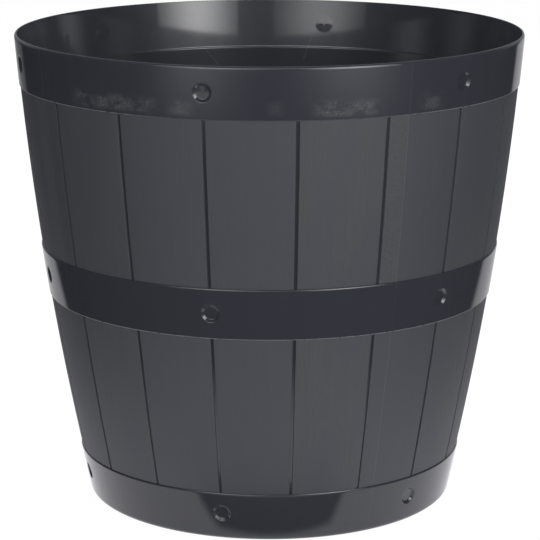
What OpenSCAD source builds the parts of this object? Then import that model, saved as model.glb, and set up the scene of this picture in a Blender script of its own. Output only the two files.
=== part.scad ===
// Round barrel planter with moulded staves, three flat hoops and dimpled rivets.
// Origin: centre of the foot, on the ground. +Z is up. A rivet column faces the front, along -Y.
// The wall keeps one thickness all the way, so every hoop is also a step on the inside.

/* [Overall] */
// Outer diameter over the rim hoop
rim_d = 400; // [320:5:480]
// Height from the ground to the rim
height = 372; // [300:1:440]
// Diameter of the stave line carried down to the ground
base_d = 289; // [240:1:320]
// How far the stave line bows out from a straight taper
bulge = 6.6; // [2:0.2:14]
// Wall thickness of the moulding
wall = 2.6; // [2.2:0.1:3.2]

/* [Hoops] */
// Height of each hoop band
hoop_h = 39.4; // [30:0.2:50]
// How far a hoop stands out of the staves
hoop_proud = 0.9; // [0.6:0.1:1.6]
// Rounding of the hoop edges
hoop_round = 0.6; // [0.3:0.1:1]
// Rounding of the rim's outer lip
rim_round = 1.2; // [0.6:0.1:1.6]
// Rounding under the base hoop
base_round = 5; // [4:0.5:9]

/* [Staves] */
// Number of moulded staves from one rivet to the next
staves_per_rivet = 3; // [2:1:4]
// Width of the groove between two staves, at the rim
groove_w = 2.4; // [1.6:0.1:3.6]
// Depth of that groove
groove_depth = 1.2; // [0.6:0.1:1.5]

/* [Rivets] */
// Number of rivets in each hoop
rivet_count = 6; // [3:1:9]
// Diameter of a rivet dimple at its mouth
rivet_d = 14; // [8:0.5:18]
// Diameter of its flat floor
rivet_floor_d = 9.6; // [5:0.1:12]
// Depth of the dimple
rivet_depth = 2; // [1:0.1:3]
// Land around the mouth, out to the side of the boss
rivet_land = 0.6; // [0.4:0.1:1.5]

/* [Floor] */
// Width of the flat foot under the base hoop
foot_w = 14; // [8:0.5:24]
// Gap between the ground and the underside of the floor
floor_lift = 6; // [4:0.5:12]
// Thickness of the ribs under the floor
rib_t = 1.8; // [1.2:0.1:2.6]
// Gap between those ribs and the ground
rib_gap = 2; // [1:0.5:3]
// Number of ribs under the floor
rib_count = 12; // [4:8:20]
// Radius of the rib ring at the centre
hub_r = 26; // [16:1:40]
// Diameter of a drain hole
drain_d = 16; // [10:0.5:22]
// Radius of the circle that the drain holes lie on
drain_pitch_r = 82; // [60:1:95]
// Wall of the collar under each drain hole
collar_t = 2; // [1.2:0.1:3]

/* [Drain plugs] */
// How far a plug's flange laps over the floor all round
flange_lap = 4.5; // [3:0.5:7]
// Thickness of the flange
flange_t = 1.8; // [1.2:0.1:3]
// Gap all round between the plug's shank and its hole
plug_gap = 0.3; // [0.2:0.05:0.6]
// Thickness of the shank's wall
shank_t = 1.6; // [1:0.1:2.4]
// Height of the grip above the flange
grip_h = 6; // [4:0.5:10]
// Thickness of the grip
grip_t = 2.4; // [1.6:0.1:4]
// Length of the grip
grip_l = 14; // [8:0.5:18]

/* [Hidden] */
$fn = 96;

gloss_grey = [0.17, 0.17, 0.19];
satin_grey = [0.27, 0.28, 0.29];
plug_black = [0.10, 0.10, 0.11];

// Longest straight step along the bowed wall
arc_step = 33;
// Straight steps in a rounded edge
round_steps = 4;
// Cutting tools run past what they cut by this much
over = 6;

// The stave line is one circular arc from the ground to the rim
base_r = base_d / 2;
top_r = rim_d / 2 - hoop_proud;
chord = norm([top_r - base_r, height]);
arc_r = chord * chord / (8 * bulge) + bulge / 2;
arc_cr = (base_r + top_r) / 2 - (arc_r - bulge) * height / chord;
arc_cz = height / 2 + (arc_r - bulge) * (top_r - base_r) / chord;
function stave_r(z) = arc_cr + sqrt(arc_r * arc_r - (z - arc_cz) * (z - arc_cz));
function hoop_r(z) = stave_r(z) + hoop_proud;
// Lean of the wall away from upright
function lean(z) = atan((arc_cz - z) / sqrt(arc_r * arc_r - (z - arc_cz) * (z - arc_cz)));

// Heights of the hoops, and of a rivet row in each
rim_z0 = height - hoop_h;
mid_rivet_z = height / 2;
mid_z0 = mid_rivet_z - hoop_h / 2;
mid_z1 = mid_rivet_z + hoop_h / 2;
rim_rivet_z = height - hoop_h / 2;
base_rivet_z = (hoop_h + base_round) / 2;
boss_d = rivet_d + 2 * rivet_land;
stave_count = rivet_count * staves_per_rivet;

// The rounding under the base hoop runs on into the flat foot
base_lean = lean(base_round);
base_tan_z = base_round * (1 - sin(base_lean));
foot_out_r = hoop_r(base_tan_z) - base_round * cos(base_lean);
base_in_round = base_round - wall;
foot_in_r = foot_out_r - foot_w;
floor_top = floor_lift + wall;
drain_angles = [45, 135, 225, 315];
shank_r = drain_d / 2 - plug_gap;
riser_in_r = foot_in_r - wall;
flange_d = drain_d + 2 * flange_lap;

// A point at height z on the stave line, moved out by off
function wall_point(z, off) = [stave_r(z) + off, z];

// Such points from height z0 to height z1
function wall_line(z0, z1, off) =
    let (n = ceil(abs(z1 - z0) / arc_step))
    [for (i = [0:n]) wall_point(z0 + (z1 - z0) * i / n, off)];

// Points of a rounding about a centre, from angle a0 to angle a1
function round_line(c, r, a0, a1, steps) =
    [for (i = [0:steps]) let (a = a0 + (a1 - a0) * i / steps) c + r * [cos(a), sin(a)]];

// Outer line of a hoop from its lower edge to its upper edge, with both edges rounded
function hoop_line(z0, z1, low, high) = concat(
    round_line([hoop_r(z0 + low) - low, z0 + low], low, -90, -lean(z0), round_steps),
    wall_line(z0 + 2 * low, z1 - 2 * high, hoop_proud),
    round_line([hoop_r(z1 - high) - high, z1 - high], high, -lean(z1), 90, round_steps));

module ring(points) {
    rotate_extrude() polygon(points);
}

// A plain band of the wall, inner face included
module band(outer, z0, z1, off) {
    ring(concat(outer, wall_line(z1, z0, off - wall)));
}

// Puts its children on the wall at height z, turned so that their +Z points straight out of it
module on_wall(angle, z) {
    rotate([0, 0, angle]) translate([0, -hoop_r(z), z]) rotate([90 + lean(z), 0, 0]) children();
}

module each_rivet(z) {
    for (i = [0:rivet_count - 1]) on_wall(360 / rivet_count * i, z) children();
}

// The round hole that a row of rivets leaves in its hoop
module rivet_holes(z) {
    each_rivet(z) cylinder(d = boss_d, h = 2 * (wall + rivet_depth + over), center = true);
}

// Dimpled rivets: the wall is pushed in to a flat floor, and stands out as a boss on the inside
module rivet_row(z, line_z0, line_z1) {
    core_r = stave_r(line_z0) - wall - rivet_depth - over;
    difference() {
        intersection() {
            ring(concat(wall_line(line_z0, line_z1, hoop_proud), [[core_r, line_z1], [core_r, line_z0]]));
            each_rivet(z) translate([0, 0, -wall - rivet_depth])
                cylinder(d = boss_d, h = wall + rivet_depth + over);
        }
        each_rivet(z) translate([0, 0, -rivet_depth])
            cylinder(d1 = rivet_floor_d, d2 = rivet_d, h = rivet_depth);
        each_rivet(z) cylinder(d = rivet_d, h = over);
    }
}

// Staves from height z0 to height z1: the wall with an evenly spaced groove at every joint
module stave_band(z0, z1) {
    difference() {
        band(wall_line(z0, z1, 0), z0, z1, 0);
        intersection() {
            ring(concat(wall_line(z0, z1, over), wall_line(z1, z0, -groove_depth)));
            for (i = [0:stave_count - 1]) rotate([0, 0, 360 / stave_count * i]) groove_blade(z0, z1);
        }
    }
}

// A groove narrows downwards as the barrel does
module groove_blade(z0, z1) {
    low_w = groove_w * stave_r(z0) / top_r;
    high_w = groove_w * stave_r(z1) / top_r;
    inner = stave_r(z0) - groove_depth - over;
    outer = stave_r(z1) + over;
    translate([0, -inner, 0]) rotate([90, 0, 0]) linear_extrude(height = outer - inner)
        polygon([[-low_w / 2, z0], [low_w / 2, z0], [high_w / 2, z1], [-high_w / 2, z1]]);
}

module rim_hoop() {
    lip_in = hoop_r(height) - wall;
    color(gloss_grey) difference() {
        ring(concat(hoop_line(rim_z0, height, hoop_round, rim_round),
            round_line([lip_in + hoop_round, height - hoop_round], hoop_round, 90, 180, round_steps),
            wall_line(height - 2 * hoop_round, rim_z0, hoop_proud - wall)));
        rivet_holes(rim_rivet_z);
    }
}

module rim_rivets() {
    color(gloss_grey) rivet_row(rim_rivet_z, rim_z0, height);
}

module upper_staves() {
    color(satin_grey) stave_band(mid_z1, rim_z0);
}

module middle_hoop() {
    color(gloss_grey) difference() {
        band(hoop_line(mid_z0, mid_z1, hoop_round, hoop_round), mid_z0, mid_z1, hoop_proud);
        rivet_holes(mid_rivet_z);
    }
}

module middle_rivets() {
    color(gloss_grey) rivet_row(mid_rivet_z, mid_z0, mid_z1);
}

module lower_staves() {
    color(satin_grey) stave_band(hoop_h, mid_z0);
}

module base_hoop() {
    color(gloss_grey) difference() {
        ring(concat(wall_line(base_round, hoop_h - 2 * hoop_round, hoop_proud),
            round_line([hoop_r(hoop_h - hoop_round) - hoop_round, hoop_h - hoop_round], hoop_round,
                -lean(hoop_h), 90, round_steps),
            wall_line(hoop_h, base_round, hoop_proud - wall)));
        rivet_holes(base_rivet_z);
    }
}

module base_rivets() {
    color(gloss_grey) rivet_row(base_rivet_z, base_round, hoop_h);
}

module each_drain() {
    for (angle = drain_angles) rotate([0, 0, angle]) translate([0, -drain_pitch_r, 0]) children();
}

// The base hoop turns under into the flat ring that the planter stands on, which turns up to the floor
module foot_ring() {
    centre = [foot_out_r, base_round];
    color(gloss_grey) ring(concat([[riser_in_r, floor_top], [riser_in_r, 0]],
        round_line(centre, base_round, -90, -base_lean, 2 * round_steps),
        [wall_point(base_round, hoop_proud), wall_point(base_round, hoop_proud - wall)],
        round_line(centre, base_in_round, -base_lean, -90, round_steps),
        [[foot_in_r, wall], [foot_in_r, floor_top]]));
}

// Raised floor with its drain holes
module floor_plate() {
    color(gloss_grey) difference() {
        translate([0, 0, floor_lift]) cylinder(r = riser_in_r, h = wall);
        each_drain() translate([0, 0, floor_lift - over]) cylinder(d = drain_d, h = wall + 2 * over);
    }
}

// A collar hangs under the floor round each drain hole
module drain_collars() {
    color(gloss_grey) each_drain() difference() {
        translate([0, 0, rib_gap]) cylinder(d = drain_d + 2 * collar_t, h = floor_lift - rib_gap);
        translate([0, 0, rib_gap - over]) cylinder(d = drain_d, h = floor_lift + over);
    }
}

// Ribs that stiffen the floor from below, clear of the ground and of the drain collars
module floor_ribs() {
    rib_h = floor_lift - rib_gap;
    color(gloss_grey) translate([0, 0, rib_gap]) {
        difference() {
            cylinder(r = hub_r, h = rib_h);
            translate([0, 0, -over]) cylinder(r = hub_r - rib_t, h = rib_h + 2 * over);
        }
        intersection() {
            cylinder(r = riser_in_r, h = rib_h);
            for (i = [0:rib_count - 1]) rotate([0, 0, 360 / rib_count * i])
                translate([-rib_t / 2, hub_r - rib_t / 2, 0]) cube([rib_t, riser_in_r, rib_h]);
        }
    }
}

// Push-in plug: a flange on the floor, a hollow shank in the hole and a bar to pull it out by
module drain_plug(index) {
    color(plug_black) rotate([0, 0, drain_angles[index]]) translate([0, -drain_pitch_r, 0]) {
        translate([0, 0, floor_top]) cylinder(d = flange_d, h = flange_t);
        difference() {
            translate([0, 0, rib_gap]) cylinder(r = shank_r, h = floor_top - rib_gap);
            cylinder(r = shank_r - shank_t, h = floor_top);
        }
        translate([-grip_l / 2, -grip_t / 2, floor_top + flange_t]) cube([grip_l, grip_t, grip_h]);
    }
}

module drain_plug_1() {
    drain_plug(0);
}

module drain_plug_2() {
    drain_plug(1);
}

module drain_plug_3() {
    drain_plug(2);
}

module drain_plug_4() {
    drain_plug(3);
}

rim_hoop();
rim_rivets();
upper_staves();
middle_hoop();
middle_rivets();
lower_staves();
base_hoop();
base_rivets();
foot_ring();
floor_plate();
drain_collars();
floor_ribs();
drain_plug_1();
drain_plug_2();
drain_plug_3();
drain_plug_4();
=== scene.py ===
# Half-barrel planter: moulded staves, three flat hoops with dimpled rivets, a raised floor with
# four drain holes, and the push-in plugs that close them. Metres, +Z up, a rivet column at -Y.
import math

import bpy
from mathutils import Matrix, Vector


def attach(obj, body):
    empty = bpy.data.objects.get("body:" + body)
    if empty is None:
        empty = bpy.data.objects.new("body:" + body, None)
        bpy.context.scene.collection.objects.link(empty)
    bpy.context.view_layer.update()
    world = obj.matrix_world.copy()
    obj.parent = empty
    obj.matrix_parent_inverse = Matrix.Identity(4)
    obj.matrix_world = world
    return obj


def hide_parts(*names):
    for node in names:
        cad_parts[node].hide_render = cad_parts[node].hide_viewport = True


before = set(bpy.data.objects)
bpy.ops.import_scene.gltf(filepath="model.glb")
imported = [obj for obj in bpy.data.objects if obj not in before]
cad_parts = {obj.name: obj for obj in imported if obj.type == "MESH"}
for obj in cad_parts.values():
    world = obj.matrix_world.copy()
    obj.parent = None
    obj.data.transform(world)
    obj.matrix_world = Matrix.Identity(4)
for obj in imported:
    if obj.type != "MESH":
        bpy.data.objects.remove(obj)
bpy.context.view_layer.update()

QUARTER = math.pi / 2

# Sizes of the moulding, mostly as in the part's source
HEIGHT = 0.372
BASE_R = 0.1445
TOP_R = 0.1991
BULGE = 0.0066
WALL = 0.0026
HOOP_H = 0.0394
HOOP_PROUD = 0.0009
HOOP_ROUND = 0.0006
RIM_IN_ROUND = 0.00045
# Roundings that are taller than wide: of the rim, and of the upper edge of the other hoops
RIM_ROUND = (0.0016, 0.0026)
TOP_ROUND = (0.0008, 0.0016)
BASE_ROUND = 0.005
# The inside of the rim opens a little more than the outside
RIM_DRAFT = 0.02
FOOT_W = 0.014
FLOOR_LIFT = 0.006

# Staves, in degrees round the pot, with a groove at each joint
STAVE_ANGLE = 20
GROOVE_DEPTH = 0.0012
LIP_ROUND = 0.00025
# The inside of a stave wall slopes out to the hoop above it over this height
STEP_DROP = 0.0017

# First parting line of the mould and the angle to the next one, and the flash along them
PARTING = 45
PARTING_ANGLE = 90
FLASH = 0.00008
FLASH_HALF_W = 0.0003

# Rivets: a dimple outside and a low boss inside, each with a ring of flat land round it
RIVET_ANGLE = 60
RIVET_LAND_R = 0.0079
RIVET_MOUTH_R = 0.00745
RIVET_FLOOR_R = 0.0046
RIVET_ROUND = 0.001
RIVET_SLOPE = 41
BOSS_LAND_R = 0.0082
BOSS_R = 0.0072
BOSS_H = 0.00014

# The floor's drain holes, with collars, ribs and a hub ring underneath
DRAIN_ANGLES = (45, 135, 225, 315)
DRAIN_PITCH = 0.082
DRAIN_R = 0.008
COLLAR_R = 0.010
RIB_GAP = 0.002
RIB_T = 0.0018
RIB_SINK = 0.0005
RIB_COUNT = 12
HUB_R = 0.026
FLOOR_CORE_R = 0.004

# Drain plugs. The grip is a bar: its length, thickness and height
PLUG_R = 0.0077
PLUG_BORE_R = 0.0061
PLUG_CORE_R = 0.0005
FLANGE_R = 0.0125
FLANGE_T = 0.0018
FLANGE_ROUND = 0.0008
GRIP = (0.014, 0.0024, 0.006)
GRIP_SINK = 0.0005
GRIP_ROUND = 0.0009

# Columns of faces round the hoops, the stave walls, the floor, the hub and plugs, and the holes
HOOP_COLUMNS = 528
STAVE_COLUMNS = 1008
FLOOR_COLUMNS = 264
SMALL_COLUMNS = 96
HOLE_COLUMNS = 64
# A groove is two of the stave walls' columns wide
GROOVE_HALF = 360 / STAVE_COLUMNS
# Rows of faces: on a hoop, beside its roundings, above the foot, and at the top of a stave wall
ROW_H = 0.0022
EDGE_ROW = 0.0008
FOOT_ROW = 0.001
STAVE_ROW = 0.0009
# Half the patch of columns and rows that a rivet takes up, and what is added to select it
PATCH_HALF = 0.007
PATCH_MARGIN = 0.0004
# Degrees within which a point counts as on a line, or as on the lip of a groove
ON_LINE = 0.01
ON_LIP = 0.1
SMOOTH_ANGLE = 35

CHORD = math.hypot(TOP_R - BASE_R, HEIGHT)
ARC_R = CHORD * CHORD / (8 * BULGE) + BULGE / 2
ARC_CR = (BASE_R + TOP_R) / 2 - (ARC_R - BULGE) * HEIGHT / CHORD
ARC_CZ = HEIGHT / 2 + (ARC_R - BULGE) * (TOP_R - BASE_R) / CHORD


def stave_r(z):
    """Radius of the bowed stave line at a height."""
    return ARC_CR + math.sqrt(ARC_R * ARC_R - (z - ARC_CZ) ** 2)


def lean(z):
    """Lean of the wall away from upright, in radians."""
    return math.atan((ARC_CZ - z) / math.sqrt(ARC_R * ARC_R - (z - ARC_CZ) ** 2))


# The same line as a plain curve, near enough for the materials
WALL_BOW = 4 * (stave_r(HEIGHT / 2) - (BASE_R + TOP_R) / 2) / HEIGHT ** 2
WALL_RISE = (TOP_R - BASE_R) / HEIGHT + WALL_BOW * HEIGHT

RIM_Z0 = HEIGHT - HOOP_H
RIM_RIVET_Z = HEIGHT - HOOP_H / 2
MID_RIVET_Z = HEIGHT / 2
MID_Z0 = MID_RIVET_Z - HOOP_H / 2
MID_Z1 = MID_RIVET_Z + HOOP_H / 2
BASE_RIVET_Z = (HOOP_H + BASE_ROUND) / 2
FLOOR_TOP = FLOOR_LIFT + WALL
BASE_LEAN = lean(BASE_ROUND)
FOOT_WALL_R = stave_r(BASE_ROUND * (1 - math.sin(BASE_LEAN))) + HOOP_PROUD
FOOT_OUT_R = FOOT_WALL_R - BASE_ROUND * math.cos(BASE_LEAN)
FOOT_IN_R = FOOT_OUT_R - FOOT_W
RISER_IN_R = FOOT_IN_R - WALL

# The middle of the side that faces the camera, in degrees round from -Y
FRONT_ANGLE = 14
CAMERA_TILT = 13.38
# A stave wall has the hoops' gloss where it lies deeper than this: inside and in its grooves
GLOSS_DEPTH = 0.0009
# Width of the sanded strip beside each parting line of the upper staves, in degrees
SANDED_ANGLE = 5
# Rubbed patches of the rim hoop: first and last degree, and how strong
RUBBED_PATCHES = ((-33, -10, 1.0), (-8, -2, 0.9), (13.5, 17, 0.7), (23, 38, 1.0), (47, 54, 0.8))
# Fine scratches inside, opposite the front: degrees and height of the upper and the lower end
SCRATCHES = ((183, 0.341, 185.2, 0.3207), (210.8, 0.331, 207.2, 0.316))
# Pools of light on the floor: degrees from the front, spread and strength
LIGHT_POOLS = ((34, 19, 0.85), (-29.5, 16, 0.78))
# The soft lamps aim at this height, and their light fades over this share of their width
LAMP_AIM_Z = 0.25
LAMP_FADE = 0.36


# Modelling, as by hand


def select_only(piece):
    """Leaves one piece selected and active, in object mode."""
    if bpy.context.object and bpy.context.object.mode != "OBJECT":
        bpy.ops.object.mode_set(mode="OBJECT")
    bpy.ops.object.select_all(action="DESELECT")
    piece.select_set(True)
    bpy.context.view_layer.objects.active = piece


def pick(piece, kind, test):
    """Selects the points, edges or faces whose place passes a test, and stays in edit mode."""
    bpy.ops.object.mode_set(mode="EDIT")
    bpy.ops.mesh.select_mode(type=kind)
    bpy.ops.mesh.select_all(action="DESELECT")
    bpy.ops.object.mode_set(mode="OBJECT")
    mesh = piece.data
    if kind == "FACE":
        for face in mesh.polygons:
            face.select = test(face.center)
    elif kind == "EDGE":
        passed = [test(point.co) for point in mesh.vertices]
        for edge in mesh.edges:
            edge.select = passed[edge.vertices[0]] and passed[edge.vertices[1]]
    else:
        for point in mesh.vertices:
            point.select = test(point.co)
    bpy.ops.object.mode_set(mode="EDIT")


def turned(name, profile, columns):
    """A ring of edges is drawn out and widened from one profile point to the next."""
    bpy.ops.object.select_all(action="DESELECT")
    radius, height = profile[0]
    bpy.ops.mesh.primitive_circle_add(vertices=columns, radius=radius, location=(0, 0, height))
    piece = bpy.context.object
    piece.name = piece.data.name = name
    bpy.ops.object.transform_apply(location=True, rotation=True, scale=True)
    bpy.ops.object.mode_set(mode="EDIT")
    bpy.ops.mesh.select_mode(type="EDGE")
    bpy.ops.mesh.select_all(action="SELECT")
    for (r0, z0), (r1, z1) in zip(profile, profile[1:]):
        bpy.ops.mesh.extrude_edges_move(TRANSFORM_OT_translate={"value": (0, 0, z1 - z0)})
        if r1 != r0:
            bpy.ops.transform.resize(value=(r1 / r0, r1 / r0, 1), center_override=(0, 0, 0))
    return piece


def face_outwards():
    """Merges doubles and turns all faces outwards."""
    bpy.ops.mesh.select_all(action="SELECT")
    bpy.ops.mesh.remove_doubles(threshold=1e-6)
    bpy.ops.mesh.normals_make_consistent(inside=False)
    bpy.ops.object.mode_set(mode="OBJECT")


def close_ring():
    """Joins the first ring of edges to the last."""
    bpy.ops.mesh.select_all(action="DESELECT")
    bpy.ops.mesh.select_non_manifold()
    bpy.ops.mesh.bridge_edge_loops()
    face_outwards()


def close_ends(piece, radius, top):
    """Closes the last ring of edges, then the first one, which has this radius at the top."""
    bpy.ops.mesh.edge_face_add()
    pick(piece, "VERT", lambda p: math.hypot(p.x, p.y) < radius + 0.0001 and p.z > top - 1e-5)
    bpy.ops.mesh.edge_face_add()
    face_outwards()


def apply_modifier(piece, kind, **settings):
    """Adds a modifier with its settings and applies it."""
    select_only(piece)
    modifier = piece.modifiers.new(kind.lower(), kind)
    for key, value in settings.items():
        setattr(modifier, key, value)
    bpy.ops.object.modifier_apply(modifier=modifier.name)


def smooth(piece):
    """Smooth shading with the large faces' own normals kept beside small roundings."""
    select_only(piece)
    bpy.ops.object.shade_smooth_by_angle(angle=math.radians(SMOOTH_ANGLE))
    apply_modifier(piece, "WEIGHTED_NORMAL", keep_sharp=True, weight=80)


def azimuth(p):
    """Degrees round from -Y towards +X."""
    return math.degrees(math.atan2(p.x, -p.y))


def off_joint(p):
    """Degrees from the nearest joint between two staves."""
    return abs((azimuth(p) + STAVE_ANGLE / 2) % STAVE_ANGLE - STAVE_ANGLE / 2)


def off_parting(p):
    """Degrees from the nearest of the four parting lines of the mould."""
    return abs((azimuth(p) - PARTING + PARTING_ANGLE / 2) % PARTING_ANGLE - PARTING_ANGLE / 2)


def wall_depth(p):
    """How far inside the outer stave line a point is."""
    return stave_r(p.z) - math.hypot(p.x, p.y)


def wall_line(z0, z1, off, steps):
    """Points of the bowed wall between two heights, moved out by off."""
    heights = [z0 + (z1 - z0) * i / steps for i in range(steps + 1)]
    return [(stave_r(z) + off, z) for z in heights]


def rounding(centre, radii, a0, a1, steps):
    """Points of a rounding from angle a0 to a1, in radians. A pair of radii makes it oval."""
    wide, tall = radii if isinstance(radii, tuple) else (radii, radii)
    angles = [a0 + (a1 - a0) * i / steps for i in range(steps + 1)]
    return [(centre[0] + wide * math.cos(a), centre[1] + tall * math.sin(a)) for a in angles]


def low_edge(z):
    """The small rounding from a hoop's lower edge to its outer face."""
    centre = (stave_r(z + HOOP_ROUND) + HOOP_PROUD - HOOP_ROUND, z + HOOP_ROUND)
    return rounding(centre, HOOP_ROUND, -QUARTER, -lean(z), 5)


def top_edge(z, radii, steps):
    """The oval rounding from a hoop's outer face to its upper edge."""
    wide, tall = radii
    centre = (stave_r(z - tall) + HOOP_PROUD - wide, z - tall)
    return rounding(centre, radii, 0, QUARTER, steps)


def column_w(z):
    """Width of a hoop's columns at a height."""
    return 2 * math.pi * (stave_r(z) + HOOP_PROUD) / HOOP_COLUMNS


def half_columns(z):
    """Columns in half the patch that a rivet takes up."""
    return round(PATCH_HALF / column_w(z))


def patch_half(z):
    """Half the side of that patch, a whole number of columns."""
    return half_columns(z) * column_w(z)


def rivet_rows(z0, z1, rivet_z, off):
    """Wall points with an even set of rows behind a rivet, so that its patch is square."""
    half = patch_half(rivet_z)
    below = max(2, round((rivet_z - half - z0) / ROW_H))
    above = max(2, round((z1 - rivet_z - half) / ROW_H))
    across = 2 * half_columns(rivet_z)
    return (
        wall_line(z0, rivet_z - half, off, below)[:-1]
        + wall_line(rivet_z - half, rivet_z + half, off, across)[:-1]
        + wall_line(rivet_z + half, z1, off, above)
    )


def dimple_rings():
    """Radius and height of a dimple's rings: land, rounded mouth, slope, fillet, flat floor."""
    turns = [math.radians(RIVET_SLOPE * i / 6) for i in range(7)]
    curve = [(RIVET_ROUND * math.sin(a), RIVET_ROUND * (math.cos(a) - 1)) for a in turns]
    run = RIVET_MOUTH_R - RIVET_FLOOR_R - 2 * curve[-1][0]
    drop = 2 * curve[-1][1] - run * math.tan(turns[-1])
    mouth = [(RIVET_MOUTH_R - across, down) for across, down in curve]
    fillet = [(RIVET_FLOOR_R + across, drop - down) for across, down in curve[::-1]]
    return [(RIVET_LAND_R, 0)] + mouth + fillet + [(0.0030, drop), (0.0012, drop)]


def boss_rings():
    """Radius and height of the rings of the boss, a very low dome."""
    radii = (0.0069, 0.0064, 0.0056, 0.0046, 0.0034, 0.0022, 0.0010)
    dome = [(r, BOSS_H * (1 - (r / BOSS_R) ** 2)) for r in radii]
    return [(BOSS_LAND_R, 0), (BOSS_R, 0)] + dome


def press_dimple(piece, plain, z):
    """Raises a rivet's low boss on the inside of the wall and sinks its dimple outside."""
    reach = patch_half(z) + PATCH_MARGIN
    for inside in (True, False):
        def in_patch(p):
            near = abs(p.x) < reach and abs(p.z - z) < reach and p.y < 0
            depth = wall_depth(p) + HOOP_PROUD
            return near and (depth > WALL / 2 if inside else depth < WALL / 2)

        pick(piece, "FACE", in_patch)
        bpy.ops.mesh.dissolve_faces()
        bpy.ops.mesh.select_mode(type="EDGE")
        bpy.ops.mesh.subdivide(number_cuts=2)
        bpy.ops.mesh.select_mode(type="FACE")
        bpy.ops.transform.tosphere(value=1)
        bpy.ops.object.mode_set(mode="OBJECT")
        ring = [v for v in piece.data.vertices if v.select]
        centre = sum((v.co for v in ring), Vector()) / len(ring)
        radius = sum((v.co - centre).length for v in ring) / len(ring)
        group = piece.vertex_groups.get("mouth") or piece.vertex_groups.new(name="mouth")
        group.remove(range(len(piece.data.vertices)))
        group.add([v.index for v in ring], 1, "REPLACE")
        rings = boss_rings() if inside else dimple_rings()
        growth = rings[0][0] / radius
        bpy.ops.object.mode_set(mode="EDIT")
        bpy.ops.transform.resize(value=(growth, growth, growth), center_override=centre)
        bpy.ops.object.mode_set(mode="OBJECT")
        # The ring goes back on the bowed face, which the plain copy still has
        apply_modifier(
            piece, "SHRINKWRAP", target=plain, vertex_group="mouth",
            wrap_method="NEAREST_SURFACEPOINT",
        )
        bpy.ops.object.mode_set(mode="EDIT")
        for (r0, h0), (r1, h1) in zip(rings, rings[1:]):
            bpy.ops.mesh.inset(thickness=r0 - r1, depth=h1 - h0)
        bpy.ops.object.mode_set(mode="OBJECT")
    piece.vertex_groups.clear()


def raise_parting_lines(piece, proud):
    """Where the mould's quarters meet, a hair of flash stands out of the outer face."""
    def on_line(p):
        return off_parting(p) < ON_LINE and wall_depth(p) < WALL / 2 - proud

    pick(piece, "EDGE", on_line)
    bpy.ops.mesh.bevel(offset_type="OFFSET", offset=FLASH_HALF_W, segments=2, affect="EDGES")
    pick(piece, "VERT", on_line)
    raised = 1 + FLASH / TOP_R
    bpy.ops.transform.resize(value=(raised, raised, 1), center_override=(0, 0, 0))
    bpy.ops.object.mode_set(mode="OBJECT")


def hoop(name, profile, rivet_z):
    """A hoop with one rivet is made in a sixth of the ring, which is then repeated round."""
    piece = turned(name, profile, HOOP_COLUMNS)
    close_ring()
    bpy.ops.object.duplicate()
    plain = bpy.context.object
    select_only(piece)
    pick(piece, "FACE", lambda p: abs(azimuth(p)) > RIVET_ANGLE / 2)
    bpy.ops.mesh.delete(type="FACE")
    press_dimple(piece, plain, rivet_z)
    bpy.data.objects.remove(plain)
    select_only(piece)
    bpy.ops.object.mode_set(mode="EDIT")
    bpy.ops.mesh.select_all(action="SELECT")
    for _ in range(360 // RIVET_ANGLE - 1):
        bpy.ops.mesh.duplicate()
        bpy.ops.transform.rotate(
            value=math.radians(RIVET_ANGLE), orient_axis="Z", center_override=(0, 0, 0)
        )
    bpy.ops.mesh.select_all(action="SELECT")
    bpy.ops.mesh.remove_doubles(threshold=1e-5)
    bpy.ops.mesh.normals_make_consistent(inside=False)
    bpy.ops.object.mode_set(mode="OBJECT")
    raise_parting_lines(piece, HOOP_PROUD)
    return piece


def stave_wall(name, z0, z1, step):
    """A ring of staves: grooves are pushed in at the joints, and their lips are rounded."""
    outer = wall_line(z0, z1 - STAVE_ROW, 0, 24) + [(stave_r(z1), z1)]
    # The inside slopes out by the step to the wider hoop above
    slope = [(z1 - STEP_DROP * i / 4, rise) for i, rise in enumerate((1, 0.86, 0.5, 0.14))]
    inner = [(stave_r(z) - WALL + step * rise, z) for z, rise in slope]
    inner += wall_line(z1 - STEP_DROP, z0, -WALL, 10)
    piece = turned(name, outer + inner, STAVE_COLUMNS)
    close_ring()
    pick(piece, "EDGE", lambda p: abs(off_joint(p) - GROOVE_HALF) < ON_LINE)
    bpy.ops.mesh.bevel(offset_type="PERCENT", offset_pct=12, segments=1, affect="EDGES")

    def groove_floor(p):
        # The grooves end below the hoop above, which closes them
        in_groove = off_joint(p) < GROOVE_HALF - ON_LINE and p.z < z1 - STAVE_ROW / 2
        return in_groove and wall_depth(p) < WALL / 2

    pick(piece, "VERT", groove_floor)
    shrink = 1 - GROOVE_DEPTH / stave_r((z0 + z1) / 2)
    bpy.ops.transform.resize(value=(shrink, shrink, 1), center_override=(0, 0, 0))

    def lip(p):
        beside = GROOVE_HALF < off_joint(p) < GROOVE_HALF + ON_LIP
        return beside and wall_depth(p) < GROOVE_DEPTH / 2

    pick(piece, "EDGE", lip)
    bpy.ops.mesh.bevel(offset_type="OFFSET", offset=LIP_ROUND, segments=3, affect="EDGES")
    raise_parting_lines(piece, 0)
    return piece


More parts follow.
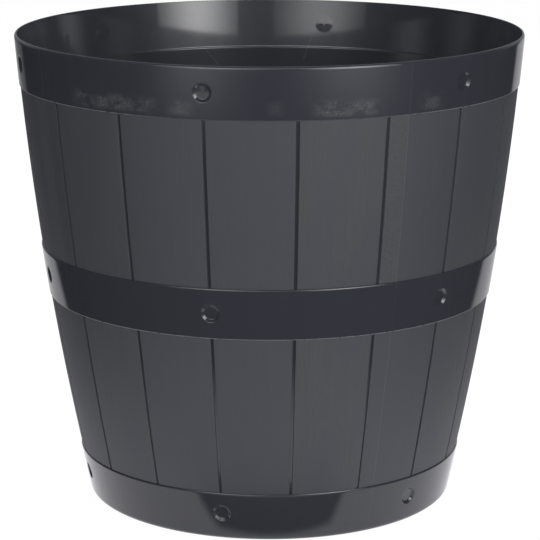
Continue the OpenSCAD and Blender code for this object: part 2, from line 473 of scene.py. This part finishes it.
def make_rim_band():
    """The rim hoop, rounded over its rim to an inner wall that opens a little more."""
    inner = rivet_rows(RIM_Z0, HEIGHT - 2 * RIM_IN_ROUND, RIM_RIVET_Z, HOOP_PROUD - WALL)
    inner = [(r + RIM_DRAFT * (z - RIM_RIVET_Z), z) for r, z in inner]
    lip_in = stave_r(HEIGHT) + HOOP_PROUD - WALL + RIM_DRAFT * HOOP_H / 2
    lip = (lip_in + RIM_IN_ROUND, HEIGHT - RIM_IN_ROUND)
    face_z0 = RIM_Z0 + HOOP_ROUND + EDGE_ROW
    face_z1 = HEIGHT - RIM_ROUND[1] - EDGE_ROW
    profile = low_edge(RIM_Z0)
    profile += rivet_rows(face_z0, face_z1, RIM_RIVET_Z, HOOP_PROUD)
    profile += top_edge(HEIGHT, RIM_ROUND, 10)
    profile += rounding(lip, RIM_IN_ROUND, QUARTER, 2 * QUARTER, 4)
    profile += inner[::-1]
    return hoop("rim_band", profile, RIM_RIVET_Z)


def make_middle_band():
    inner = rivet_rows(MID_Z0, MID_Z1, MID_RIVET_Z, HOOP_PROUD - WALL)
    face_z0 = MID_Z0 + HOOP_ROUND + EDGE_ROW
    face_z1 = MID_Z1 - TOP_ROUND[1] - EDGE_ROW
    profile = low_edge(MID_Z0)
    profile += rivet_rows(face_z0, face_z1, MID_RIVET_Z, HOOP_PROUD)
    profile += top_edge(MID_Z1, TOP_ROUND, 7)
    profile += inner[::-1]
    return hoop("middle_band", profile, MID_RIVET_Z)


def make_base_band():
    """The base hoop with its rounded foot, the flat it stands on and the riser to the floor."""
    centre = (FOOT_OUT_R, BASE_ROUND)
    face_z0 = BASE_ROUND + FOOT_ROW
    face_z1 = HOOP_H - TOP_ROUND[1] - EDGE_ROW
    inner = rivet_rows(face_z0, HOOP_H, BASE_RIVET_Z, HOOP_PROUD - WALL)
    profile = [(RISER_IN_R, 0.0003), (RISER_IN_R + 0.0003, 0)]
    profile += rounding(centre, BASE_ROUND, -QUARTER, -BASE_LEAN, 10)
    profile += rivet_rows(face_z0, face_z1, BASE_RIVET_Z, HOOP_PROUD)
    profile += top_edge(HOOP_H, TOP_ROUND, 7) + inner[::-1]
    profile += rounding(centre, BASE_ROUND - WALL, -BASE_LEAN, -QUARTER, 6)
    # A fillet from the foot to the riser, and a rounding from the riser to the floor
    profile += [(FOOT_IN_R + 0.0008, WALL), (FOOT_IN_R + 0.0002, WALL + 0.0002)]
    profile += [(FOOT_IN_R, WALL + 0.0008), (FOOT_IN_R, FLOOR_TOP - 0.0005)]
    profile += [(FOOT_IN_R - 0.00015, FLOOR_TOP - 0.00015), (FOOT_IN_R - 0.0005, FLOOR_TOP)]
    profile += [(RISER_IN_R, FLOOR_TOP)]
    return hoop("base_band", profile, BASE_RIVET_Z)


def drain_place(angle):
    """The x and y of the drain hole at an angle round from -Y, in degrees."""
    a = math.radians(angle)
    return DRAIN_PITCH * math.sin(a), -DRAIN_PITCH * math.cos(a)


def rod(name, x, y, z0, z1, radius, columns):
    """A plain upright cylinder, to be added to a piece or cut out of it."""
    bpy.ops.object.select_all(action="DESELECT")
    bpy.ops.mesh.primitive_cylinder_add(
        vertices=columns, radius=radius, depth=z1 - z0, location=(x, y, (z0 + z1) / 2)
    )
    piece = bpy.context.object
    piece.name = name
    bpy.ops.object.transform_apply(location=True, rotation=True, scale=True)
    return piece


def combine(piece, others, operation):
    """Adds other solids to a piece or cuts them out of it."""
    for other in others:
        apply_modifier(piece, "BOOLEAN", operation=operation, object=other, solver="EXACT")
        bpy.data.objects.remove(other)


def make_floor():
    """Raised floor: drain holes with collars, stiffening ribs and the mark of the sprue below."""
    radii = (FLOOR_CORE_R, 0.04, 0.08, 0.11, RISER_IN_R)
    profile = [(r, FLOOR_TOP) for r in radii] + [(r, FLOOR_LIFT) for r in radii[:0:-1]]
    # The stump of the sprue in its shallow dish
    profile += [(0.008, FLOOR_LIFT), (0.0076, FLOOR_LIFT + 0.0004), (0.0030, FLOOR_LIFT + 0.0005)]
    profile += [(0.0026, FLOOR_LIFT + 0.0001), (0.0014, FLOOR_LIFT - 0.0003)]
    piece = turned("floor_moulding", profile, FLOOR_COLUMNS)
    close_ends(piece, FLOOR_CORE_R, FLOOR_TOP)
    # Hub, ribs and collars reach a little into the floor, and the bores cut past their tops
    sunk = FLOOR_LIFT + RIB_SINK
    past = FLOOR_LIFT + 0.002
    hub = rod("hub", 0, 0, RIB_GAP, sunk, HUB_R, SMALL_COLUMNS)
    bore = rod("hub_bore", 0, 0, 0, past, HUB_R - RIB_T, SMALL_COLUMNS)
    combine(hub, [bore], "DIFFERENCE")
    adds = [hub]
    # Each bar is two opposite ribs, with the space inside the hub cut out of it
    for i in range(RIB_COUNT // 2):
        bpy.ops.object.select_all(action="DESELECT")
        bpy.ops.mesh.primitive_cube_add(size=1, location=(0, 0, (RIB_GAP + sunk) / 2))
        bar = bpy.context.object
        bar.dimensions = (2 * RISER_IN_R - 0.0001, RIB_T, sunk - RIB_GAP)
        bpy.ops.object.transform_apply(location=False, rotation=False, scale=True)
        bar.rotation_euler[2] = math.radians(360 / RIB_COUNT * i)
        bpy.ops.object.transform_apply(location=True, rotation=True, scale=True)
        space = rod("hub_space", 0, 0, 0, past, HUB_R - RIB_T / 2, SMALL_COLUMNS)
        combine(bar, [space], "DIFFERENCE")
        adds.append(bar)
    for angle in DRAIN_ANGLES:
        adds.append(rod("collar", *drain_place(angle), RIB_GAP, sunk, COLLAR_R, HOLE_COLUMNS))
    combine(piece, adds, "UNION")
    holes = [rod("drain", *drain_place(a), 0, 0.02, DRAIN_R, HOLE_COLUMNS) for a in DRAIN_ANGLES]
    combine(piece, holes, "DIFFERENCE")
    apply_modifier(
        piece, "BEVEL", width=0.0003, segments=2, limit_method="ANGLE",
        angle_limit=math.radians(50),
    )
    return piece


def make_plug(name, angle):
    """Push-in plug: rounded flange on the floor, hollow shank with a lead-in, bar to pull."""
    top = FLOOR_TOP + FLANGE_T
    edge = (FLANGE_R - FLANGE_ROUND, top - FLANGE_ROUND)
    profile = [(r, top) for r in (PLUG_CORE_R, 0.004, 0.0085, 0.0115)]
    profile += rounding(edge, FLANGE_ROUND, QUARTER, 0, 5)
    profile += [(FLANGE_R, FLOOR_TOP + 0.0003), (FLANGE_R - 0.0003, FLOOR_TOP)]
    # The shank, with its lead-in at the lower end, and the bore up to the flange
    profile += [(PLUG_R, FLOOR_TOP), (PLUG_R, 0.0062), (PLUG_R, 0.0034)]
    profile += [(PLUG_R - 0.0005, 0.0021), (PLUG_R - 0.0007, RIB_GAP)]
    profile += [(PLUG_BORE_R + 0.0002, RIB_GAP), (PLUG_BORE_R, RIB_GAP + 0.0002)]
    profile += [(PLUG_BORE_R, FLOOR_TOP), (0.003, FLOOR_TOP), (PLUG_CORE_R, FLOOR_TOP)]
    piece = turned(name, profile, SMALL_COLUMNS)
    close_ends(piece, PLUG_CORE_R, top)
    length, thickness, height = GRIP
    bpy.ops.object.select_all(action="DESELECT")
    bpy.ops.mesh.primitive_cube_add(size=1, location=(0, 0, top + (height - GRIP_SINK) / 2))
    grip = bpy.context.object
    grip.dimensions = (length, thickness, height + GRIP_SINK)
    bpy.ops.object.transform_apply(location=True, rotation=True, scale=True)
    pick(grip, "EDGE", lambda p: p.z > top)
    bpy.ops.mesh.bevel(offset=GRIP_ROUND, segments=4, affect="EDGES")
    bpy.ops.object.mode_set(mode="OBJECT")
    combine(piece, [grip], "UNION")
    select_only(piece)
    piece.rotation_euler[2] = math.radians(angle)
    x, y = drain_place(angle)
    piece.location = (x, y, 0)
    bpy.ops.object.transform_apply(location=True, rotation=True, scale=True)
    return piece


# Shader maths


class Socket:
    """An output of a shader node that takes part in plain arithmetic."""

    def __init__(self, net, out):
        self.net, self.out = net, out

    def __add__(self, other):
        return self.net.math("ADD", self, other)

    __radd__ = __add__

    def __mul__(self, other):
        return self.net.math("MULTIPLY", self, other)

    __rmul__ = __mul__

    def __sub__(self, other):
        return self.net.math("SUBTRACT", self, other)

    def __rsub__(self, other):
        return self.net.math("SUBTRACT", other, self)

    def __truediv__(self, other):
        return self.net.math("DIVIDE", self, other)

    def __mod__(self, other):
        return self.net.math("FLOORED_MODULO", self, other)

    def __neg__(self):
        return self.net.math("MULTIPLY", self, -1)

    def __abs__(self):
        return self.net.math("ABSOLUTE", self)

    def __gt__(self, other):
        return self.net.math("GREATER_THAN", self, other)

    def __lt__(self, other):
        return self.net.math("LESS_THAN", self, other)


class Net:
    """The node tree of a material, a lamp or the world."""

    def __init__(self, owner):
        owner.use_nodes = True
        self.owner = owner
        self.tree = owner.node_tree
        self.tree.nodes.clear()

    def make(self, kind, settings=None, values=None, out=0):
        """One node: its settings first, then the values or links of its sockets."""
        node = self.tree.nodes.new(kind)
        for key, value in (settings or {}).items():
            setattr(node, key, value)
        for key, value in (values or {}).items():
            socket = node.inputs[key]
            if isinstance(value, Socket):
                self.tree.links.new(value.out, socket)
            else:
                socket.default_value = value
        return Socket(self, node.outputs[out])

    def math(self, operation, *values):
        return self.make("ShaderNodeMath", {"operation": operation}, dict(enumerate(values)))

    def ease(self, value, low, high, to_low=0.0, to_high=1.0):
        """A soft step from one level to another."""
        return self.make("ShaderNodeMapRange", {"interpolation_type": "SMOOTHSTEP"}, {
            "Value": value, "From Min": low, "From Max": high, "To Min": to_low, "To Max": to_high,
        })

    def vector(self, x, y, z):
        return self.make("ShaderNodeCombineXYZ", None, {"X": x, "Y": y, "Z": z})

    def split(self, vector):
        """The x, y and z of a vector."""
        values = {"Vector": vector}
        return [self.make("ShaderNodeSeparateXYZ", None, values, axis) for axis in "XYZ"]

    def noise(self, place, scale, detail, roughness):
        values = {"Vector": place, "Scale": scale, "Detail": detail, "Roughness": roughness}
        return self.make("ShaderNodeTexNoise", None, values)

    def place(self):
        """The x, y and z of a point of the piece."""
        return self.split(self.make("ShaderNodeTexCoord", None, None, "Object"))

    def polar(self, x, y):
        """Degrees round from -Y towards +X, and the distance from the axis."""
        return self.math("ARCTAN2", x, -y) * (180 / math.pi), self.math("SQRT", x * x + y * y)

    def off_parting(self, turn):
        """Degrees from the nearest parting line of the mould."""
        return self.math("PINGPONG", turn - PARTING, PARTING_ANGLE / 2)

    def mix(self, colour, other, share, blend="MIX"):
        settings = {"data_type": "RGBA", "blend_type": blend}
        return self.make("ShaderNodeMix", settings, {0: share, 6: colour, 7: other}, 2)

    def blend(self, share, shader, other):
        """Two shaders mixed by a share of the second."""
        return self.make("ShaderNodeMixShader", None, {0: share, 1: shader, 2: other})

    def output(self, kind, surface):
        node = self.tree.nodes.new(kind)
        self.tree.links.new(surface.out, node.inputs["Surface"])


def plastic(name, colour, second, relief, strength, specular):
    """A moulded plastic in two colours, under a hazy coat of varying strength.

    The relief is a function that gives, all over the piece, the lightness, the roughness, the
    height of the surface, the share of the second colour and the strength of the coat.
    """
    net = Net(bpy.data.materials.new(name))
    light, rough, height, share, haze = relief(net)
    grey = net.make("ShaderNodeCombineColor", None, {"Red": light, "Green": light, "Blue": light})
    shade = net.mix(net.mix((*colour, 1), (*second, 1), share), grey, 1.0, "MULTIPLY")
    bumps = {"Strength": strength, "Distance": 0.0002, "Height": height}
    surface = net.make("ShaderNodeBsdfPrincipled", None, {
        "Base Color": shade,
        "Roughness": rough,
        "Normal": net.make("ShaderNodeBump", None, bumps),
        "Specular IOR Level": specular,
        "IOR": 1.49,
        "Coat Weight": haze,
        "Coat Roughness": 0.34,
        "Coat IOR": 1.5,
    })
    net.output("ShaderNodeOutputMaterial", surface)
    return net.owner


def stave_relief(net):
    """Wood grain cut in the mould, different on every stave, and a sanded strip by each seam."""
    x, y, z = net.place()
    turn, radius = net.polar(x, y)
    # Which stave it is, how far across it, and a number from 0 to 1 that only this stave has
    count = net.math("FLOOR", turn / STAVE_ANGLE)
    side = (turn / STAVE_ANGLE - count - 0.5) * math.radians(STAVE_ANGLE) * radius
    chance = net.math("FRACT", count * 0.618 + 10.1)
    # Streaks are narrow across the stave and long up it
    streak = net.noise(net.vector(side * 900 + count * 31, z * 22, chance * 9), 1.0, 3.0, 0.6)
    fine = net.noise(net.vector(side * 3200 + count * 17, z * 60, 4), 1.0, 2.0, 0.5)
    broad = net.noise(net.vector(side * 170 + count * 13, z * 8, 2.5), 1.0, 2.0, 0.5)
    # Arched growth rings, on some staves only
    waver = net.noise(net.vector(side * 30, z * 12, count * 5.1), 1.0, 2.0, 0.5)
    rings = net.math("SINE", (side * side * 5200 + z * 42 * (chance - 0.35) + waver * 5) * 9)
    arch = net.ease(chance, 0.45, 0.6) * net.ease(waver, 0.4, 0.6)
    strip = ((turn - PARTING) % PARTING_ANGLE > PARTING_ANGLE - SANDED_ANGLE) * (z > MID_RIVET_Z)
    grit = net.noise(net.vector(x, y, z), 1000, 2.0, 0.6)
    line = net.ease(net.off_parting(turn), 0.05, 0.13, 1.0, 0.0)
    height = streak * 0.6 + fine * 0.25 + rings * arch * 0.2 + strip * grit * 0.8
    light = 0.86 + streak * 0.16 + broad * 0.12 + (chance - 0.5) * 0.09 + rings * arch * 0.035
    light = light + strip * ((grit - 0.5) * 1.5 + 0.08) + line * 0.5
    return light, 0.58 + fine * 0.08, height, strip * 0.4 + arch * 0.5, 0.0


def gloss_relief(net):
    """Polished hoop: rubbed patches round the rim, worn lower lips with a painted highlight, and
    flash. Hazy inside.
    """
    x, y, z = net.place()
    turn, radius = net.polar(x, y)
    off_front = abs(turn - FRONT_ANGLE)
    outside = net.ease(radius - (z * (WALL_RISE - z * WALL_BOW) + BASE_R), -0.0016, -0.0004)
    inside = 1 - outside
    wave = net.noise(net.vector(x, y, z), 60, 2.0, 0.5)
    streak = net.noise(net.vector(turn * 0.4, z * 5, 7.7), 1.0, 3.0, 0.6)
    # Worn edges with a painted highlight: the rim's top, and the lower lips of the rim and middle
    # hoops, rougher as wear and lightened as a painted reflection of the bright floor, the rim's
    # lower lip more so away from the front
    lips = (z > HEIGHT - 0.0003) * 0.3
    for low, level in ((RIM_Z0, net.ease(off_front, 15, 45, 0.3, 1.0)), (MID_Z0, 1.0)):
        lips = (abs(z - (low + 0.0002)) < 0.0004) * outside * level + lips
    lip_patchiness = net.noise(net.vector(turn * 0.7, 0, z * 10), 1.0, 3.0, 0.6)
    wear_and_painted_highlight = lips * net.ease(lip_patchiness, 0.25, 0.6, 0.5, 1.0)
    # Strokes of a cloth across the rim's lower half, in patches
    patches = net.ease(off_front, 70, 90) * 0.6
    for first, last, level in RUBBED_PATCHES:
        begin = net.ease(turn, first - 1, first + 3)
        patches = begin * net.ease(turn, last - 3, last + 1, level, 0.0) + patches
    blot = net.noise(net.vector(turn * 0.3, z * 120, 3.3), 1.0, 4.0, 0.65)
    slant = net.vector(turn * 2.6 - z * 750, turn * 0.9 + z * 260, 8.1)
    stroke = net.noise(slant, 1.0, 3.0, 0.6)
    rise = net.ease(z, RIM_Z0 + 0.001, RIM_Z0 + 0.005)
    band = rise * net.ease(z, RIM_Z0 + 0.010, RIM_Z0 + 0.017, 1.0, 0.0)
    strokes = net.ease(blot, 0.36, 0.6) * net.ease(stroke, 0.35, 0.62, 0.35, 1.0)
    rubbed = strokes * band * patches * outside
    flash = net.ease(net.off_parting(turn), 0.05, 0.11, 1.0, 0.0) * outside
    scratched = 0
    for t0, z0, t1, z1 in SCRATCHES:
        along = turn % 360 - (z - z0) * ((t1 - t0) / (z1 - z0))
        scratched = (abs(along - t0) < 0.1) * (z > z1) * (z < z0) + scratched
    # The lips' lightening here is a painted highlight, standing in for the bright floor mirrored
    # in their roundings
    light = 0.94 + wave * 0.04 + streak * 0.08 + wear_and_painted_highlight * 2.1 + flash * 0.3
    light = light + inside * (scratched * 0.9 - 0.12)
    rough = 0.055 + outside * 0.02 + rubbed * 0.2 + wear_and_painted_highlight * 0.3 + flash * 0.15
    haze = inside * (wave * 0.4 + 0.75) * net.ease(z, RIM_Z0 - 0.003, RIM_Z0, 0.35, 1.0)
    return light, rough, wave, rubbed * 0.85 + wear_and_painted_highlight * 0.5, haze


def plug_relief(net):
    """Fine even grit."""
    grit = net.noise(net.vector(*net.place()), 1400, 2.0, 0.5)
    return 0.92 + grit * 0.16, 0.42 + grit * 0.1, grit, grit, 0.0


# The set


def rightwards(x, y):
    """How far a place on the floor, or a direction, lies to the right, as seen from the front."""
    turn = math.radians(FRONT_ANGLE)
    return x * math.cos(turn) + y * math.sin(turn)


def backwards(x, y):
    """How far it lies behind the pot's axis, as seen from the front."""
    turn = math.radians(FRONT_ANGLE)
    return y * math.cos(turn) - x * math.sin(turn)


def make_camera():
    lens = bpy.data.cameras.new("camera")
    lens.lens = 156.8
    lens.sensor_width = 36
    lens.shift_x = 0.00102
    camera = bpy.data.objects.new("camera", lens)
    camera.location = (0.4458, -1.788, 0.616)
    camera.rotation_euler = (math.radians(90 - CAMERA_TILT), 0, math.radians(FRONT_ANGLE))
    bpy.context.scene.collection.objects.link(camera)
    bpy.context.scene.camera = camera


def make_floor_stage():
    """A white floor that keeps the pot's shadow, and what the gloss shows of it."""
    bpy.ops.object.select_all(action="DESELECT")
    # Just below zero, so that it never meets the flat of the foot
    bpy.ops.mesh.primitive_plane_add(size=60, location=(0, 0, -0.0002))
    ground = bpy.context.object
    ground.name = "ground"
    bpy.ops.object.transform_apply(location=True, rotation=True, scale=True)
    net = Net(bpy.data.materials.new("ground_white"))
    x, y, _ = net.place()
    seen = net.make("ShaderNodeLightPath", None, None, "Is Camera Ray")
    mirrored = net.make("ShaderNodeLightPath", None, None, "Is Glossy Ray")
    right, away = rightwards(x, y), backwards(x, y)
    distance = net.math("SQRT", x * x + y * y)
    # The gloss shows a bright floor near the pot
    near = net.ease(distance, 0.27, 0.41, 1.0, 0.0)
    # A dark patch close in front, with a straight near edge and slanting sides
    left_side = net.math("MAXIMUM", -right - 0.045, 0.0) * 0.5
    right_side = net.math("MAXIMUM", right - 0.056, 0.0) * 0.6
    near_edge = net.ease(away + 0.151 + (left_side + right_side), -0.007, 0.006, 1.0, 0.0)
    wedge = near_edge * net.ease(away, -0.215, -0.2)
    # The far floor behind is paler, within a widening strip, and duller to the left
    strip = (away - abs(right) * 1.88 + 0.647) / distance
    behind = net.ease(strip, -0.13, 0.07) * net.ease(distance, 0.4, 1.9, 0.68, 0.57)
    behind = behind * net.ease(away, 0.0, 0.1) * net.ease(right, -1.1, -0.45, 0.26, 0.93)
    lit = net.math("MAXIMUM", near * (1 - wedge * 0.93), behind)
    # Two soft pools of light on the floor in front of the softboxes
    bearing = net.math("ARCTAN2", right, -away) * (180 / math.pi)
    pools = 0
    for middle, spread, strength in LIGHT_POOLS:
        aside = (bearing - middle) / spread
        pools = net.math("EXPONENT", -(aside * aside)) * strength + pools
    level = net.math("MAXIMUM", lit, pools * net.ease(distance, 0.95, 1.45))
    paper = net.make("ShaderNodeBsdfDiffuse", None, {"Color": (0.86, 0.86, 0.86, 1)})
    white = net.make("ShaderNodeEmission", None, {"Strength": 1.08})
    glow = net.make("ShaderNodeEmission", None, {"Color": (1.0, 0.99, 1.03, 1), "Strength": 1.05})
    dark = net.make("ShaderNodeEmission", None, {"Strength": 0.02})
    # Under the pot the ground lies in shadow, as it shows through the drain holes
    open_ground = net.ease(distance, FOOT_IN_R, FOOT_OUT_R)
    shown = net.blend(seen * open_ground * 0.9, paper, white)
    reflected = net.blend(level, dark, glow)
    net.output("ShaderNodeOutputMaterial", net.blend(mirrored, shown, reflected))
    ground.data.materials.append(net.owner)


def make_sky():
    """White behind the pot, a dull even light, and in the gloss a dark room with bright parts."""
    world = bpy.data.worlds.new("studio")
    bpy.context.scene.world = world
    net = Net(world)
    seen = net.make("ShaderNodeLightPath", None, None, "Is Camera Ray")
    mirrored = net.make("ShaderNodeLightPath", None, None, "Is Glossy Ray")
    x, y, z = net.split(net.make("ShaderNodeTexCoord", None, None, "Generated"))
    away = backwards(x, y)
    # A light band high in front, and a dull wall behind
    high = net.ease(z, 0.36, 0.42) * net.ease(z, 0.50, 0.56, 1.0, 0.0)
    high = high * net.ease(away, -0.8, -0.35, 1.0, 0.0)
    level = net.math("MAXIMUM", net.ease(away, 0.45, 0.75) * 0.08, high)
    soft, white, dark, glow = [
        net.make("ShaderNodeBackground", None, {"Strength": strength})
        for strength in (0.29, 1.0, 0.05, 3.4)
    ]
    lit = net.blend(mirrored, soft, net.blend(level, dark, glow))
    net.output("ShaderNodeOutputWorld", net.blend(seen, lit, white))


def softbox(name, bearing, distance, low, size, power):
    """A soft lamp that faces the planter and fades towards its sides.

    Its bearing is in degrees from the front, and low is about the height of its lower edge.
    """
    lamp = bpy.data.lights.new(name, "AREA")
    lamp.shape = "RECTANGLE"
    lamp.size, lamp.size_y = size
    lamp.energy = power
    net = Net(lamp)
    spot = net.make("ShaderNodeNewGeometry", None, None, "Parametric")
    across = net.make("ShaderNodeSeparateXYZ", None, {"Vector": spot}, "X")
    aside = (across - 0.5) / LAMP_FADE
    fade = net.math("EXPONENT", -(aside * aside))
    net.output("ShaderNodeOutputLight", net.make("ShaderNodeEmission", None, {"Strength": fade}))
    holder = bpy.data.objects.new(name, lamp)
    a = math.radians(FRONT_ANGLE + bearing)
    holder.location = (distance * math.sin(a), -distance * math.cos(a), low + size[1] / 2)
    aim = Vector((0, 0, LAMP_AIM_Z)) - holder.location
    holder.rotation_euler = aim.to_track_quat("-Z", "Y").to_euler()
    holder.visible_camera = False
    bpy.context.scene.collection.objects.link(holder)
    return holder


make_camera()
make_floor_stage()
make_sky()
softbox("right_softbox", bearing=36.5, distance=2.4, low=0.3, size=(1.9, 1.3), power=41.5)
softbox("left_softbox", bearing=-25.5, distance=2.4, low=0.3, size=(2.2, 1.5), power=22.5)
# Fill for the far side and for the inside, which the gloss doesn't mirror
fills = (
    softbox("far_fill", bearing=180, distance=2.4, low=0.3, size=(2.2, 1.5), power=34),
    softbox("top_fill", bearing=0, distance=0, low=1.6, size=(1.0, 0.8), power=20),
)
for fill in fills:
    fill.visible_glossy = False

rim_band = make_rim_band()
middle_band = make_middle_band()
base_band = make_base_band()
upper_step = HOOP_PROUD - RIM_DRAFT * HOOP_H / 2
upper_stave_wall = stave_wall("upper_stave_wall", MID_Z1, RIM_Z0, upper_step)
lower_stave_wall = stave_wall("lower_stave_wall", HOOP_H, MID_Z0, HOOP_PROUD)
floor_moulding = make_floor()
plugs = [make_plug(f"drain_closer_{i + 1}", angle) for i, angle in enumerate(DRAIN_ANGLES)]

hoop_gloss = plastic(
    "hoop_gloss", (0.0365, 0.039, 0.0495), (0.095, 0.097, 0.105), gloss_relief,
    strength=0.02, specular=0.62,
)
stave_satin = plastic(
    "stave_satin", (0.049, 0.0525, 0.066), (0.056, 0.057, 0.062), stave_relief,
    strength=0.5, specular=0.8,
)
plug_black = plastic(
    "plug_black", (0.034, 0.034, 0.036), (0.048, 0.048, 0.05), plug_relief,
    strength=0.1, specular=0.5,
)

# Each piece with its finish, its slot, its body and the nodes that it replaces
PIECES = [
    (rim_band, hoop_gloss, "hoop_gloss", "pot", ("rim_hoop", "rim_rivets")),
    (middle_band, hoop_gloss, "hoop_gloss", "pot", ("middle_hoop", "middle_rivets")),
    (base_band, hoop_gloss, "hoop_gloss", "pot", ("base_hoop", "base_rivets", "foot_ring")),
    (upper_stave_wall, stave_satin, "stave_satin", "pot", ("upper_staves",)),
    (lower_stave_wall, stave_satin, "stave_satin", "pot", ("lower_staves",)),
    (floor_moulding, hoop_gloss, "hoop_gloss", "pot",
     ("floor_plate", "drain_collars", "floor_ribs")),
]
for i, plug in enumerate(plugs):
    PIECES.append((plug, plug_black, "plug_black", f"plug_{i + 1}", (f"drain_plug_{i + 1}",)))

for piece, finish, slot, body, nodes in PIECES:
    piece.data.materials.clear()
    piece.data.materials.append(finish)
    smooth(piece)
    if piece in (upper_stave_wall, lower_stave_wall):
        piece.data.materials.append(hoop_gloss)
        pick(piece, "FACE", lambda p: wall_depth(p) > GLOSS_DEPTH)
        piece.active_material_index = 1
        bpy.ops.object.material_slot_assign()
        bpy.ops.object.mode_set(mode="OBJECT")
    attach(piece, body)
    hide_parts(*nodes)

bpy.context.scene.view_settings.view_transform = "Standard"
